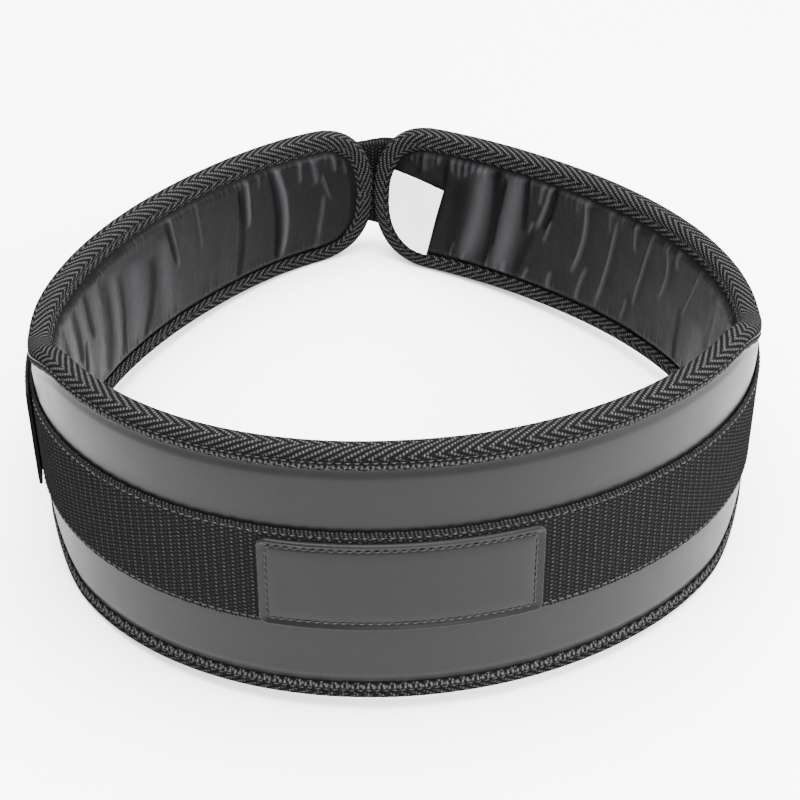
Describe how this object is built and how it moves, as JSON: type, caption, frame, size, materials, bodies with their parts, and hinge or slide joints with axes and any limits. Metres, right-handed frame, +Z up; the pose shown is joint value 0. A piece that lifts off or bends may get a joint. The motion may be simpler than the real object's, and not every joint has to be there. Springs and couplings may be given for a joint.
{
  "type": "weightlifting belt",
  "caption": "Padded contoured weightlifting belt, fastened in a loop and standing on its lower edge, with webbing, patch, tape-bound edge and closure strap.",
  "frame": {"origin": "on the surface that the belt stands on, under the middle of its box", "axes": "+Z up; -Y towards the lumbar part and its patch; +Y towards the two ends and the closure; +X to the right seen from the lumbar side"},
  "size_m": [0.3314, 0.3458, 0.1349],
  "materials": {
    "cover": "smooth matte dark grey leatherette",
    "lining": "thin black satin cloth",
    "binding": "black herringbone tape",
    "webbing": "black ribbed webbing",
    "patch": "smooth matte dark grey leatherette",
    "label": "white satin ribbon",
    "strap": "black webbing",
    "loop": "black coated wire"
  },
  "bodies": {
    "root": {"padded_cover": "cover", "lining": "lining", "edge_binding": "binding", "support_webbing": "webbing", "front_patch": "patch", "care_label": "label", "closure_strap": "strap", "loop_tab": "strap", "strap_loop": "loop"}
  },
  "joints": []
}
